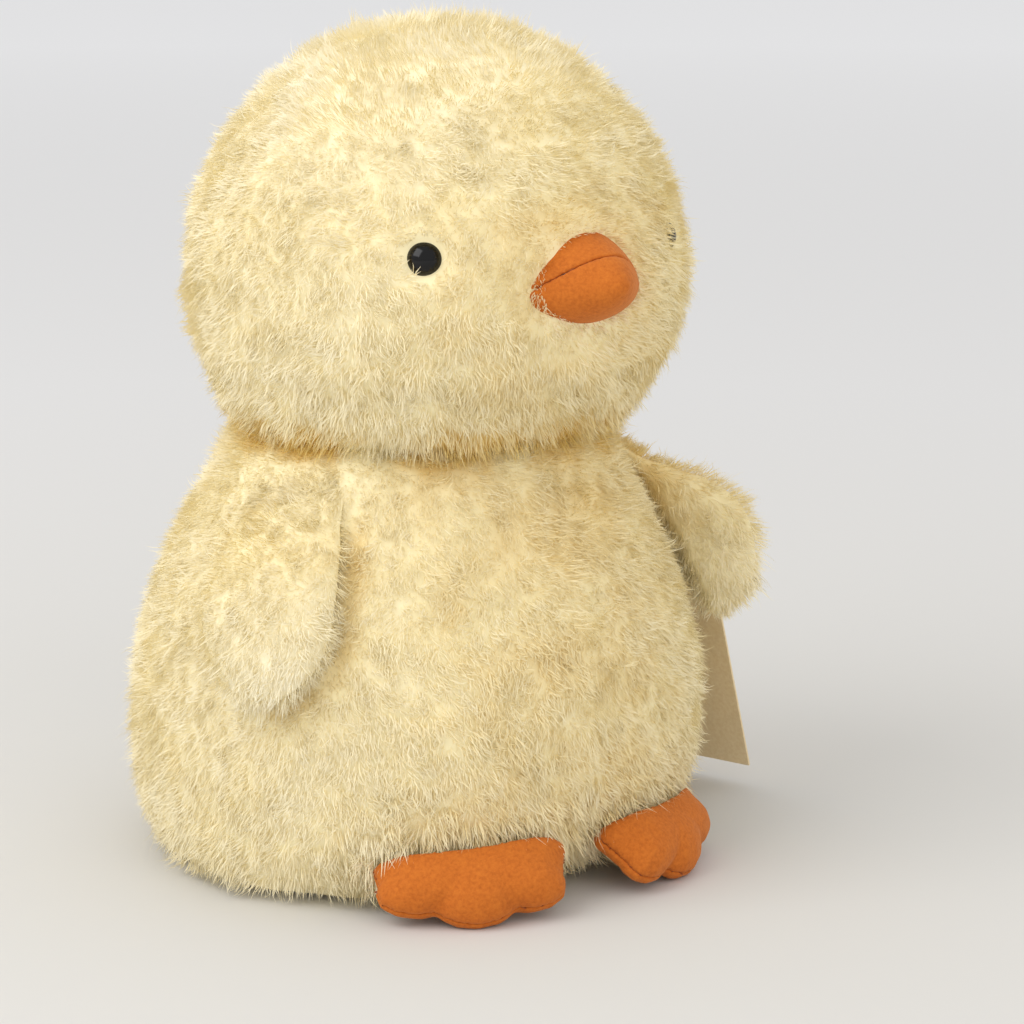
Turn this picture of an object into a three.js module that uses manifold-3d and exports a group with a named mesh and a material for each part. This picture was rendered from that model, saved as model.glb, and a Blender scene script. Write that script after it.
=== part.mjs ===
// A plush chick: a seated toy of long-pile fabric with felt beak and feet, in millimetres, +Z up.
// The chick faces -Y and its left side is +X. The origin is the middle of the base it sits on.
import * as THREE from 'three';
import { mergeVertices } from 'three/addons/utils/BufferGeometryUtils.js';
import Module from 'manifold-3d';

const wasm = await Module();
wasm.setup();

const degree = Math.PI / 180;
const fit = 0.3; // gap between pieces that touch

// Covers: woven backing with its pile, measured to the mean height of the pile
const bodyPile = 9;
const wingPile = 4.6;
const felt = 1.3;

// Body
const neckHeight = 106;
const bellyHeight = 35;
const bellyHalfWidth = 70.5;
const bellyFront = 68;
const bellyBack = 71;
const chestSwell = 3;
const baseHalfWidth = 57;
const baseFront = 46;
const baseBack = 57;
const rimWidth = 8; // flat ring of cover round the base panel
const basePanelThickness = 2.2;
const pouchHeight = 13;

// Head, a ball that sits over the front of the neck
const headRadius = 60;
const headRise = 36; // middle of the ball over the neck
const headForward = 8;
const chinTuck = 5.5; // the ball's underside is drawn back to the neck
const chinNarrow = 4; // and in all round
const chinDrop = 8; // below the middle of the ball, where that starts
const headHeight = neckHeight + headRise;

// Eyes, pushed through the cover and locked by washers
const eyeAngle = 39.5; // from straight ahead, in degrees
const eyeRise = 10.6; // above the middle of the head
const eyeRadius = 4.2;
const eyeDome = 4;
const eyeRim = 0.8;
const eyeDepth = 6.6; // from the pile down to the back of the eye
const stemRadius = 1.9;
const stemLength = 9.5;
const washerRadius = 6.5;
const washerThickness = 1.4;
const dimpleRadius = 8; // where the eye draws the pile in

// Beak, a stuffed felt cone of two panels
const beakRise = 4.2;
const beakHalfWidth = 15;
const beakHalfHeight = 11.4;
const beakLength = 9.5; // tip in front of the head's pile
const beakSeatDepth = 7.5; // from the pile down to the fabric that it is sewn to
const beakRootDepth = 15; // where its sections start, inside the head
const seamRise = 8.2; // side seam over the middle of the head, halfway along
const seamSlope = 30; // degrees, up towards the tip
const beakReach = headRadius + beakLength;
const beakSeat = headRadius - beakSeatDepth;
const beakRoot = headRadius - beakRootDepth;

// Wings, flat paddles sewn on at the shoulder
const shoulderDrop = 4; // hinge line under the neck
const shoulderStandOff = 4.6; // hinge line outside the body's pile
const shoulderForward = 16; // degrees forward of the side
const wingLength = 57;
const wingHalfWidth = 18.5;
const wingHalfThickness = 8;
const wingRootHalfWidth = 16;
const wingRootHalfThickness = 3;
const wingRootLap = 2; // cover above the hinge line
const rightSweep = 11; // degrees, the tip forward of the shoulder
const leftSweep = 20;
const rightTwist = 8; // degrees at the tip, back edge out
const leftTwist = 50; // degrees at the tip, front edge up
const rightRaise = 23; // degrees out from hanging, as the chick sits
const leftRaise = 28;
const wingLowest = 23;
const wingHighest = 73;

// Feet, felt pillows with three toes, sewn on above the base and sloping down to the floor
const footSpacing = 25; // hinge from the middle plane
const footInset = 3; // hinge behind the surface of the pile
const footTurn = 28; // degrees out
const footSlope = 40; // degrees down to the toes
const footLength = 19; // hinge to toes
const footOuterHalf = 22.5; // width on the outer side of the hinge
const footInnerHalf = 21.5;
const footHeel = 2; // behind the hinge
const footCentre = 4;
const footTop = 8; // over the seam
const soleDepth = 3; // under the seam
const toeSpread = 50; // degrees between toes
const toeDepth = 2.2;
const toeCrease = 0.2; // share of the top's height that a crease takes
const footRaise = 15; // degrees that the foot folds up

// Swing tag on a moulded pin in the left flank
const tagWidth = 44;
const tagLength = 65;
const tagThickness = 0.6;
const tagHoleRadius = 1.6;
const tagHoleInset = 5; // from the top edge
const tagHeight = 62.3; // middle of its hole
const tagForward = 20; // hole in front of where the card touches the flank
const tagYaw = 15; // degrees, face turned to the back
const tagLean = 18.5; // degrees, foot of the card outwards
const pinRadius = 0.7;
const pinInside = 16.5; // from the card to the bar in the stuffing
const pinBarLength = 9;
const paddleRadius = 2.6;
const paddleThickness = 1;

const around = 36; // sides of a body ring

const colours = { fur: 0xeedfae, stuffing: 0xf3f1ea, orange: 0xd2712a, black: 0x15130f, card: 0xbfa980 };

function material(colour, roughness) {
  return new THREE.MeshStandardMaterial({ color: colour, roughness, metalness: 0 });
}
const fur = material(colours.fur, 0.95);
const fibre = material(colours.stuffing, 1);
const orangeFelt = material(colours.orange, 0.9);
const eyePlastic = material(colours.black, 0.12);
const washerPlastic = material(0xe9e8e2, 0.5);
const pouchCloth = material(0xd9d2c0, 0.9);
const pinPlastic = material(0xdad6cc, 0.4);
const card = material(colours.card, 0.85);

// Boolean work on closed geometries
function toSolid(geometry) {
  const bare = geometry.clone();
  for (const name of ['normal', 'uv']) bare.deleteAttribute(name);
  const merged = mergeVertices(bare, 1e-5);
  const triVerts = new Uint32Array(merged.index.array);
  return new wasm.Manifold(new wasm.Mesh({ numProp: 3, vertProperties: merged.attributes.position.array, triVerts }));
}
function toGeometry(solid) {
  const mesh = solid.getMesh();
  const geometry = new THREE.BufferGeometry();
  geometry.setAttribute('position', new THREE.BufferAttribute(mesh.vertProperties, 3));
  geometry.setIndex(new THREE.BufferAttribute(mesh.triVerts, 1));
  return geometry;
}
const cut = (base, ...tools) => toGeometry(tools.reduce((left, tool) => left.subtract(toSolid(tool)), toSolid(base)));
const joined = (base, ...more) => toGeometry(more.reduce((sum, piece) => sum.add(toSolid(piece)), toSolid(base)));
const shared = (a, b) => toGeometry(toSolid(a).intersect(toSolid(b)));
// The largest body of a geometry, without the specks that a cut can leave
function whole(geometry) {
  const bodies = toSolid(geometry).decompose();
  return toGeometry(bodies.sort((a, b) => b.volume() - a.volume())[0].simplify(0.005));
}

// A closed solid through rings of points, all with the same count and turning the same way
function loft(rings) {
  const count = rings[0].length;
  const points = rings.flat();
  const index = [];
  for (let ring = 0; ring + 1 < rings.length; ring++) {
    for (let i = 0; i < count; i++) {
      const [a, b] = [ring * count + i, ring * count + ((i + 1) % count)];
      index.push(a, b, b + count, a, b + count, a + count);
    }
  }
  for (const [ring, flip] of [[0, true], [rings.length - 1, false]]) {
    const middle = rings[ring].reduce((sum, p) => sum.clone().add(p)).divideScalar(count);
    points.push(middle);
    for (let i = 0; i < count; i++) {
      const [a, b] = [ring * count + i, ring * count + ((i + 1) % count)];
      index.push(...(flip ? [b, a, points.length - 1] : [a, b, points.length - 1]));
    }
  }
  return new THREE.BufferGeometry().setFromPoints(points).setIndex(index);
}

const range = (count) => Array.from({ length: count + 1 }, (_, i) => i / count);
const mix = (a, b, share) => a + (b - a) * share;

// A piece turned round +Z from [radius, height] pairs that start and end on the axis
function turned(profile, sides) {
  return new THREE.LatheGeometry(profile.map(([r, z]) => new THREE.Vector2(r, z)), sides).rotateX(Math.PI / 2);
}

// The body's reach at a height: to each side, to the front, to the back, and its middle
function bodyReach(height) {
  if (height <= bellyHeight) {
    const under = 1 - Math.max(height, 0) / bellyHeight;
    const full = Math.sqrt(1 - under ** 3);
    return {
      side: mix(baseHalfWidth, bellyHalfWidth, full),
      front: mix(baseFront, bellyFront, 1 - under ** 2),
      back: mix(baseBack, bellyBack, full),
      middle: 0,
    };
  }
  const up = Math.min((height - bellyHeight) / (neckHeight - bellyHeight), 1);
  return {
    side: mix(bellyHalfWidth, neckRadius, up ** 1.7),
    front: mix(bellyFront, neckRadius, up ** 1.7) + chestSwell * Math.sin(Math.PI * up),
    back: mix(bellyBack, neckRadius, up ** 2.2),
    middle: (chinTuck - headForward) * up ** 4,
  };
}
const neckRadius = Math.sqrt(headRadius ** 2 - headRise ** 2) - chinNarrow - fit;

function bodyRing(reach, inset, height) {
  return range(around).slice(0, around).map((share) => {
    const turn = 2 * Math.PI * share;
    const deep = (Math.sin(turn) < 0 ? reach.front : reach.back) - inset;
    return new THREE.Vector3((reach.side - inset) * Math.cos(turn), reach.middle + deep * Math.sin(turn), height);
  });
}

// The body's outer form, its sides moved in by an inset, or out where that is negative
function bodyForm(inset, top, bottom) {
  const low = range(6).map((share) => bellyHeight * (1 - Math.cos((share * Math.PI) / 2)) ** 1.3);
  const high = range(7).slice(1).map((share) => mix(bellyHeight, neckHeight, share));
  const rings = [...low, ...high].map((height) => {
    const placed = mix(bottom, top, height / neckHeight);
    return bodyRing(bodyReach(height), inset, placed);
  });
  return loft(rings);
}

// What lies inside the body's cover, between two heights
function bodyInside(bottom, top, gap) {
  const pouchTop = basePanelThickness + pouchHeight;
  const low = [0.22, 0.72, 1].map((share) => bellyHeight * share);
  const high = [0.3, 0.52, 0.72, 0.87].map((share) => mix(bellyHeight, neckHeight, share));
  const heights = [bottom, basePanelThickness + fit, ...low, pouchTop, ...high, top];
  const kept = [...new Set(heights.filter((height) => height >= bottom && height <= top))].sort((a, b) => a - b);
  return loft(kept.map((height) => {
    const inBase = height <= basePanelThickness + fit;
    const reach = bodyReach(inBase ? 0 : height);
    return bodyRing(reach, (inBase ? rimWidth : bodyPile) + gap, height);
  }));
}

function ball(radius, sides, rings) {
  return new THREE.SphereGeometry(radius, sides, rings).rotateX(Math.PI / 2);
}
function placed(geometry, x, y, z) {
  return geometry.clone().translate(x, y, z);
}
const atHead = (geometry) => placed(geometry, 0, -headForward, headHeight);

// The ball's underside, gathered in towards the neck
function gathered(geometry) {
  const place = geometry.attributes.position;
  for (let i = 0; i < place.count; i++) {
    const [x, y, z] = [place.getX(i), place.getY(i), place.getZ(i)];
    const low = THREE.MathUtils.clamp((-chinDrop - z) / (headRise - chinDrop), 0, 1) ** 2;
    const wide = Math.hypot(x, y);
    const share = wide > chinNarrow ? 1 - (chinNarrow * low) / wide : 1;
    place.setXY(i, x * share, y * share + chinTuck * low);
  }
  return geometry;
}

// The head's ball, cut flat at the neck, or carried on below it by a drop
function headForm(radius, drop) {
  const bottom = neckHeight - headHeight;
  const lowest = Math.asin(bottom / radius);
  const arc = range(12).slice(0, 12).map((share) => mix(lowest, Math.PI / 2, share));
  const curve = arc.map((angle) => [radius * Math.cos(angle), radius * Math.sin(angle)]);
  const under = drop > 0 ? [[0, bottom - drop], [radius * Math.cos(lowest), bottom - drop]] : [[0, bottom]];
  return atHead(gathered(turned([...under, ...curve, [0, radius]], 36)));
}

// Places a piece that points along +Z so that it looks out of the head at an eye
function atEye(geometry, side, distance) {
  const rise = Math.asin(eyeRise / headRadius);
  const way = new THREE.Vector3(side * Math.sin(eyeAngle * degree), -Math.cos(eyeAngle * degree), 0);
  way.multiplyScalar(Math.cos(rise)).setZ(Math.sin(rise));
  const turn = new THREE.Quaternion().setFromUnitVectors(new THREE.Vector3(0, 0, 1), way);
  const place = way.clone().multiplyScalar(distance).add(new THREE.Vector3(0, -headForward, headHeight));
  return geometry.clone().applyMatrix4(new THREE.Matrix4().compose(place, turn, new THREE.Vector3(1, 1, 1)));
}
const eyeSeat = headRadius - eyeDepth;
const washerSeat = headRadius - bodyPile - 1.3; // its flat rim meets the round inside of the cover

function eyeForm(side) {
  const dome = range(5).slice(0, 5).map((share) => share * 90 * degree);
  const curve = dome.map((angle) => [eyeRadius * Math.cos(angle), eyeRim + eyeDome * Math.sin(angle)]);
  const stem = [[0, -stemLength], [stemRadius - 0.4, -stemLength], [stemRadius, -stemLength + 1], [stemRadius, 0]];
  return atEye(turned([...stem, [eyeRadius, 0], ...curve, [0, eyeRim + eyeDome]], 20), side, eyeSeat);
}
function washerForm(side) {
  const bore = stemRadius + fit;
  const ring = [[bore, -washerThickness], [washerRadius, -washerThickness], [washerRadius, 0], [bore, 0]];
  return atEye(turned([...ring, ring[0]], 20), side, washerSeat);
}

// Room for an eye: a dimple that opens towards the pile's surface, and the stem's hole
function eyeRoom(side) {
  const floor = -fit;
  const bowl = [[0, floor], [eyeRadius + fit, floor], [eyeRadius + fit, eyeRim], [dimpleRadius, eyeDepth + 2]];
  const hole = [[0, -bodyPile], [stemRadius + fit, -bodyPile], [stemRadius + fit, 0], [0, 0]];
  const opened = joined(turned([...bowl, [0, eyeDepth + 2]], 20), turned(hole, 20));
  return atEye(opened, side, eyeSeat);
}
function washerRoom(side) {
  const [wide, deep] = [washerRadius + fit, washerThickness + fit];
  const stem = stemRadius + fit;
  const end = eyeSeat - washerSeat - stemLength - fit;
  return atEye(turned([[0, end], [stem, end], [stem, -deep], [wide, -deep], [wide, 2], [0, 2]], 20), side, washerSeat);
}

// The beak's swelling cone, grown or shrunk by a margin
function beakForm(margin) {
  const length = beakReach - beakRoot + margin;
  const rings = [0, 0.15, 0.3, 0.45, 0.6, 0.72, 0.83, 0.92, 0.98].map((share) => {
    const taper = (1 - share ** 1.9) ** 0.72;
    const [wide, tall] = [(beakHalfWidth + margin) * taper, (beakHalfHeight + margin) * taper];
    const forward = -headForward - beakRoot - length * share;
    return range(28).slice(0, 28).map((part) => {
      const turn = 2 * Math.PI * part;
      return new THREE.Vector3(wide * Math.cos(turn), forward, headHeight + beakRise + tall * Math.sin(turn));
    });
  });
  return loft(rings);
}
function beakHalf(form, upper) {
  const size = 4 * beakReach;
  const slab = new THREE.BoxGeometry(size, size, size).translate(0, 0, (upper ? 1 : -1) * (size + fit) / 2);
  slab.rotateX(-seamSlope * degree);
  const halfway = -headForward - (beakSeat + beakReach) / 2;
  return shared(form, placed(slab, 0, halfway, headHeight + seamRise));
}

// A wing hangs down -Z from its hinge line, which lies along Y through the origin
function wingForm(side, inset, start) {
  const length = wingLength - inset;
  const [sweep, twist] = side > 0 ? [leftSweep, leftTwist] : [rightSweep, rightTwist];
  const widest = 0.58;
  const rings = [start / length, 0, 0.12, 0.28, 0.44, 0.58, 0.7, 0.8, 0.88, 0.94, 0.985].map((share) => {
    const grown = Math.sin((Math.min(Math.max(share, 0) / widest, 1) * Math.PI) / 2);
    const rounded = Math.sqrt(1 - (Math.max(share - widest, 0) / (1 - widest)) ** 2.2);
    const rootThick = inset > 0 ? wingRootHalfThickness / 2.6 : wingRootHalfThickness;
    const wide = mix(wingRootHalfWidth - inset, wingHalfWidth - inset, grown) * rounded;
    const thick = mix(rootThick, wingHalfThickness - inset, grown) * rounded;
    return range(20).slice(0, 20).map((part) => {
      const turn = -2 * Math.PI * part;
      const point = new THREE.Vector3(thick * Math.cos(turn), wide * Math.sin(turn), -length * share);
      return point.applyAxisAngle(new THREE.Vector3(0, 0, 1), twist * degree * grown ** 2);
    });
  });
  return loft(rings).rotateX(-sweep * degree);
}
const shoulderHeight = neckHeight - shoulderDrop;
const shoulderReach = bodyReach(shoulderHeight).side + shoulderStandOff;
function wingPlace(side, raise) {
  const out = shoulderForward * degree;
  const place = new THREE.Matrix4().makeTranslation(
    side * shoulderReach * Math.cos(out), -shoulderReach * Math.sin(out), shoulderHeight);
  place.multiply(new THREE.Matrix4().makeRotationZ(-side * out));
  return place.multiply(new THREE.Matrix4().makeRotationY(-side * raise * degree));
}
const seenFrom = (geometry, place) => geometry.clone().applyMatrix4(place.clone().invert());

// A foot lies along -Y from its hinge line, which lies along X through the origin at the seam's height
function footRing(side, share, height, inset) {
  return range(32).slice(0, 32).map((part) => {
    const turn = 2 * Math.PI * part - Math.PI;
    const toes = Math.abs(turn) < 1.5 * toeSpread * degree;
    const lobe = toes ? Math.abs(Math.cos((Math.PI * turn) / (toeSpread * degree))) : 0;
    const ahead = footLength - footCentre - toeDepth;
    const behind = footCentre + footHeel;
    const along = Math.cos(turn) > 0 ? ahead : behind;
    const swell = 1 + (toeDepth * lobe) / ahead;
    const crease = toes ? 1 - toeCrease * (1 - lobe) ** 3 * share ** 4 : 1;
    const half = Math.sin(turn) * side > 0 ? footOuterHalf : footInnerHalf;
    const square = Math.cos(turn) < 0 ? Math.hypot(Math.cos(turn) ** 2, Math.sin(turn) ** 2) ** -0.8 : 1;
    const x = (half * swell - inset) * share * square * Math.sin(turn);
    const y = -footCentre - (along * swell - inset) * share * square * Math.cos(turn);
    return new THREE.Vector3(x, y, height * (height > 0 ? crease : 1));
  });
}
function footForm(side, inset) {
  const sole = [0.86, 0.95, 0.99].map((share) => [share, -(soleDepth - inset) * (1 - share ** 30) ** 0.5]);
  const top = [1, 0.97, 0.9, 0.76, 0.55, 0.3].map((share) => [share, (footTop - inset) * (1 - share ** 3.4) ** 0.6]);
  return loft([...sole, ...top].map(([share, height]) => footRing(side, share, height, inset)));
}
// The toes of a sloping foot rest on the floor, which sets how high its hinge is sewn
const footHeight = (() => {
  const foot = footForm(1, 0).rotateX(footSlope * degree);
  foot.computeBoundingBox();
  return -foot.boundingBox.min.z;
})();
function footPlace(side, raise) {
  const reach = bodyReach(footHeight);
  const front = reach.front * Math.sqrt(1 - (footSpacing / reach.side) ** 2);
  const place = new THREE.Matrix4().makeTranslation(side * footSpacing, footInset - front, footHeight);
  place.multiply(new THREE.Matrix4().makeRotationZ(side * footTurn * degree));
  return place.multiply(new THREE.Matrix4().makeRotationX((footSlope - raise) * degree));
}

function tagForm() {
  const [half, top] = [tagWidth / 2, tagHoleInset];
  const outline = new THREE.Shape();
  outline.moveTo(-half, top);
  outline.lineTo(-half, top - tagLength);
  outline.lineTo(half, top - tagLength);
  outline.lineTo(half, top);
  outline.closePath();
  outline.holes.push(new THREE.Path().absarc(0, 0, tagHoleRadius, 0, 2 * Math.PI, true));
  const sheet = new THREE.ExtrudeGeometry(outline, { depth: tagThickness, bevelEnabled: false, curveSegments: 8 });
  return sheet.translate(0, 0, -tagThickness / 2);
}
// The pin runs along +Z through the card's hole, from its bar in the stuffing to its paddle
function pinForm(margin) {
  const [r, back] = [pinRadius + margin, -pinInside];
  const paddle = tagThickness / 2 + fit;
  const rod = [[0, back], [r, back], [r, paddle], [paddleRadius + margin, paddle]];
  const shaft = turned([...rod, [paddleRadius + margin, paddle + paddleThickness], [0, paddle + paddleThickness]], 12);
  const bar = new THREE.CylinderGeometry(r + 0.2, r + 0.2, pinBarLength + 2 * margin, 12).translate(0, 0, back);
  return joined(shaft, bar);
}
// The card leans out against the flank: the farthest that the body reaches towards it sets its place
function tagPose() {
  const [out, lean] = [tagYaw * degree, tagLean * degree];
  const reaches = range(24).map((share) => {
    const height = tagHeight + tagHoleInset - tagLength * share * Math.cos(lean);
    const { side, back } = bodyReach(height);
    return Math.hypot(side * Math.cos(out), back * Math.sin(out)) * Math.cos(lean) + height * Math.sin(lean);
  });
  const farthest = Math.max(...reaches) + fit + tagThickness / 2;
  const reach = (farthest - tagHeight * Math.sin(lean)) / Math.cos(lean);
  const x = reach * Math.cos(out) + tagForward * Math.sin(out);
  const y = reach * Math.sin(out) - tagForward * Math.cos(out);
  const pose = new THREE.Matrix4().makeTranslation(x, y, tagHeight);
  pose.multiply(new THREE.Matrix4().makeRotationZ(tagYaw * degree));
  pose.multiply(new THREE.Matrix4().makeRotationY((90 - tagLean) * degree));
  return pose.multiply(new THREE.Matrix4().makeRotationZ(90 * degree));
}

const chick = new THREE.Group();
function piece(name, geometry, finish, place) {
  const mesh = new THREE.Mesh(geometry, finish);
  mesh.name = name;
  if (place) mesh.applyMatrix4(place);
  chick.add(mesh);
}

function addBody() {
  const pin = pinForm(fit).applyMatrix4(tagPose());
  const shell = cut(bodyForm(0, neckHeight - fit, 0), bodyInside(-1, neckHeight + 1, 0), pin);
  piece('body_cover', shell, fur);
  piece('base_panel', bodyInside(0, basePanelThickness, fit), fur);
  piece('bean_pouch', bodyInside(basePanelThickness + fit, basePanelThickness + pouchHeight, fit), pouchCloth);
  const filling = bodyInside(basePanelThickness + pouchHeight + fit, neckHeight - fit, fit);
  piece('body_stuffing', cut(filling, pin), fibre);
}

function addHead() {
  const inside = headRadius - bodyPile;
  const beakBed = cut(beakForm(fit), atHead(ball(beakSeat, 32, 16)));
  const rooms = [-1, 1].map(eyeRoom);
  piece('head_cover', cut(headForm(headRadius, 0), headForm(inside, 1), beakBed, ...rooms), fur);
  piece('head_stuffing', cut(headForm(inside - fit, 0), ...[-1, 1].map(washerRoom)), fibre);
  for (const [side, name] of [[-1, 'right'], [1, 'left']]) {
    piece(`eye_${name}`, eyeForm(side), eyePlastic);
    piece(`eye_washer_${name}`, washerForm(side), washerPlastic);
  }
}

function addBeak() {
  const bed = atHead(ball(beakSeat + fit, 32, 16));
  const skin = cut(beakForm(0), beakForm(-felt), bed);
  piece('beak_upper', beakHalf(skin, true), orangeFelt);
  piece('beak_lower', beakHalf(skin, false), orangeFelt);
  piece('beak_stuffing', cut(beakForm(-felt - fit), bed), fibre);
}

function addWing(side, name, rest) {
  const raises = [wingLowest, (wingLowest + wingHighest) / 2, wingHighest];
  const blocked = (gap) => {
    const near = [bodyForm(-gap, neckHeight, 0), headForm(headRadius + gap, fit)];
    return raises.flatMap((raise) => near.map((form) => seenFrom(form, wingPlace(side, raise))));
  };
  const hollow = cut(wingForm(side, wingPile, -2 * wingRootLap), ...blocked(fit + wingPile));
  const filling = cut(wingForm(side, wingPile + fit, wingRootLap / 2), ...blocked(fit + wingPile + fit));
  const cover = cut(wingForm(side, 0, -wingRootLap), hollow, ...blocked(fit));
  piece(`wing_${name}_cover`, whole(cover), fur, wingPlace(side, rest));
  piece(`wing_${name}_stuffing`, whole(filling), fibre, wingPlace(side, rest));
}

function addFoot(side, name) {
  const body = bodyForm(-fit, neckHeight, -1);
  const blocked = [0, footRaise / 2, footRaise].map((raise) => seenFrom(body, footPlace(side, raise)));
  const skin = cut(footForm(side, 0), footForm(side, felt), ...blocked);
  const size = 4 * footLength;
  const over = new THREE.BoxGeometry(size, size, size).translate(0, 0, (size + fit) / 2);
  const under = placed(over, 0, 0, -size - fit);
  const place = footPlace(side, 0);
  piece(`foot_${name}_upper`, whole(shared(skin, over)), orangeFelt, place);
  piece(`foot_${name}_sole`, whole(shared(skin, under)), orangeFelt, place);
  piece(`foot_${name}_stuffing`, whole(cut(footForm(side, felt + fit), ...blocked)), fibre, place);
}

addBody();
addHead();
addBeak();
addWing(-1, 'right', rightRaise);
addWing(1, 'left', leftRaise);
addFoot(-1, 'right');
addFoot(1, 'left');
piece('swing_tag', tagForm(), card, tagPose());
piece('tag_pin', pinForm(0), pinPlastic, tagPose());

export default chick;
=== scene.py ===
# Plush chick: pile fabric, felt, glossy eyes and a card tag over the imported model, in a plain studio
# Sizes in the dictionaries are millimetres. The chick faces -Y and its left side is +X.
import math

import bpy
import numpy as np
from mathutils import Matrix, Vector, noise
from mathutils.bvhtree import BVHTree


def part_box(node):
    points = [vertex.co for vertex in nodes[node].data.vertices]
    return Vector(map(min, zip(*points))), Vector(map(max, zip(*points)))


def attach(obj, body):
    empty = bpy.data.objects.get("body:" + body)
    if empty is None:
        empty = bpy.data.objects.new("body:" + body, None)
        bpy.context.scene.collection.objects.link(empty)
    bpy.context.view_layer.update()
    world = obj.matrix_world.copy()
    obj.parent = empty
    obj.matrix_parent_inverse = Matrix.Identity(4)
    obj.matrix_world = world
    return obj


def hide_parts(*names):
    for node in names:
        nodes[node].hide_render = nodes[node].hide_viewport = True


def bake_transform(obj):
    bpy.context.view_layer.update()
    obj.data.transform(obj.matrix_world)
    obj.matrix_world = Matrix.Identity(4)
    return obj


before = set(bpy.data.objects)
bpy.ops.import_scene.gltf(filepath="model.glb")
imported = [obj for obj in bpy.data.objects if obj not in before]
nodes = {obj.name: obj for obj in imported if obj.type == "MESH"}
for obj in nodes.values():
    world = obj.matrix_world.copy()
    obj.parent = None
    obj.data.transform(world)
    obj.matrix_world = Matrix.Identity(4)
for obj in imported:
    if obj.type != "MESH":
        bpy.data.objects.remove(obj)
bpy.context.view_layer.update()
mm = 0.001
# noise_vector would otherwise start from the clock, and each run would grow another pile
noise.seed_set(1795726216)


# Selecting, applying and copying
def deselectAll():
    if bpy.context.object and bpy.context.object.mode != "OBJECT":
        bpy.ops.object.mode_set(mode="OBJECT")
    bpy.ops.object.select_all(action="DESELECT")


def pick(piece):
    deselectAll()
    piece.select_set(True)
    bpy.context.view_layer.objects.active = piece


def applyModifiers(piece):
    pick(piece)
    for modifier in list(piece.modifiers):
        bpy.ops.object.modifier_apply(modifier=modifier.name)


def settle(piece):
    pick(piece)
    bpy.ops.object.transform_apply(location=True, rotation=True, scale=True)


def copyOf(name, nodeName):
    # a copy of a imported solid, with its facets' shared corners joined
    piece = bpy.data.objects.new(name, nodes[nodeName].data.copy())
    bpy.context.scene.collection.objects.link(piece)
    piece.name = piece.data.name = name
    piece.data.materials.clear()
    pick(piece)
    bpy.ops.object.mode_set(mode="EDIT")
    bpy.ops.mesh.select_all(action="SELECT")
    bpy.ops.mesh.remove_doubles(threshold=0.00001)
    bpy.ops.object.mode_set(mode="OBJECT")
    return piece


def remesh(piece, voxel, smoothing):
    modifier = piece.modifiers.new("Remesh", "REMESH")
    modifier.mode = "VOXEL"
    modifier.voxel_size = voxel * mm
    if smoothing:
        modifier = piece.modifiers.new("Smooth", "SMOOTH")
        modifier.factor = 0.5
        modifier.iterations = smoothing
    applyModifiers(piece)


def pointsOf(piece):
    points = np.empty(len(piece.data.vertices) * 3)
    piece.data.vertices.foreach_get("co", points)
    return points.reshape(-1, 3)


def movePoints(piece, points):
    piece.data.vertices.foreach_set("co", points.ravel())
    piece.data.update()


def shadeSmooth(piece, angle=180):
    pick(piece)
    if angle < 180:
        bpy.ops.object.shade_smooth_by_angle(angle=math.radians(angle))
    else:
        bpy.ops.object.shade_smooth()


# Colours and nodes
def linearColour(hexText):
    values = [int(hexText[i : i + 2], 16) / 255 for i in (1, 3, 5)]
    return [v / 12.92 if v <= 0.04045 else ((v + 0.055) / 1.055) ** 2.4 for v in values] + [1]


def newMaterial(name):
    material = bpy.data.materials.new(name)
    material.use_nodes = True
    return material, material.node_tree, material.node_tree.nodes["Principled BSDF"]


def addNode(tree, kind, settings=None, links=None):
    node = tree.nodes.new(kind)
    for key, value in (settings or {}).items():
        if isinstance(key, int) or key in node.inputs:
            node.inputs[key].default_value = value
        else:
            setattr(node, key, value)
    for key, source in (links or {}).items():
        tree.links.new(source, node.inputs[key])
    return node


def setRamp(node, stops):
    ramp = node.color_ramp
    while len(ramp.elements) < len(stops):
        ramp.elements.new(0.5)
    for element, (place, colour) in zip(ramp.elements, stops):
        element.position = place
        element.color = linearColour(colour)


# Modacrylic pile: soft crimped fibres, golden where their tone is low and creamy where it is high
pileLook = {
    "stops": [0.1, 0.5, 0.95],
    "tips": ["#F0D484", "#F5E9C5", "#F8F1DB"],
    "roots": ["#DFB658", "#F6E5AE", "#F9EECA"],
    # the bed's ramp is painted lighter than the tips, a painted light against the shade under the pile
    "lightenedBed": ["#E2BA5C", "#FBEFC4", "#FDF6E0"],
    "rootEnd": 0.1,
    "tipStart": 0.6,
    "sheen": "#F8E9B4",
}


def pileColour(tree, tone, part):
    ramp = addNode(tree, "ShaderNodeValToRGB", links={"Fac": tone})
    setRamp(ramp, list(zip(pileLook["stops"], pileLook[part])))
    return ramp.outputs["Color"]


def pileMaterial():
    material, tree, shader = newMaterial("modacrylicPile")
    place = addNode(tree, "ShaderNodeUVMap", {"uv_map": "OFBake"})
    parts = addNode(tree, "ShaderNodeSeparateXYZ", links={"Vector": place.outputs["UV"]})
    along = addNode(
        tree,
        "ShaderNodeMapRange",
        {"From Min": pileLook["rootEnd"], "From Max": pileLook["tipStart"]},
        {"Value": parts.outputs["Y"]},
    )
    root, tip = [pileColour(tree, parts.outputs["X"], part) for part in ("roots", "tips")]
    blend = addNode(
        tree, "ShaderNodeMix", {"data_type": "RGBA"}, {0: along.outputs["Result"], 6: root, 7: tip}
    )
    tree.links.new(blend.outputs[2], shader.inputs["Base Color"])
    shader.inputs["Roughness"].default_value = 0.9
    shader.inputs["Specular IOR Level"].default_value = 0.05
    shader.inputs["Sheen Weight"].default_value = 0.6
    shader.inputs["Sheen Roughness"].default_value = 0.6
    shader.inputs["Sheen Tint"].default_value = linearColour(pileLook["sheen"])
    return material
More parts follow.
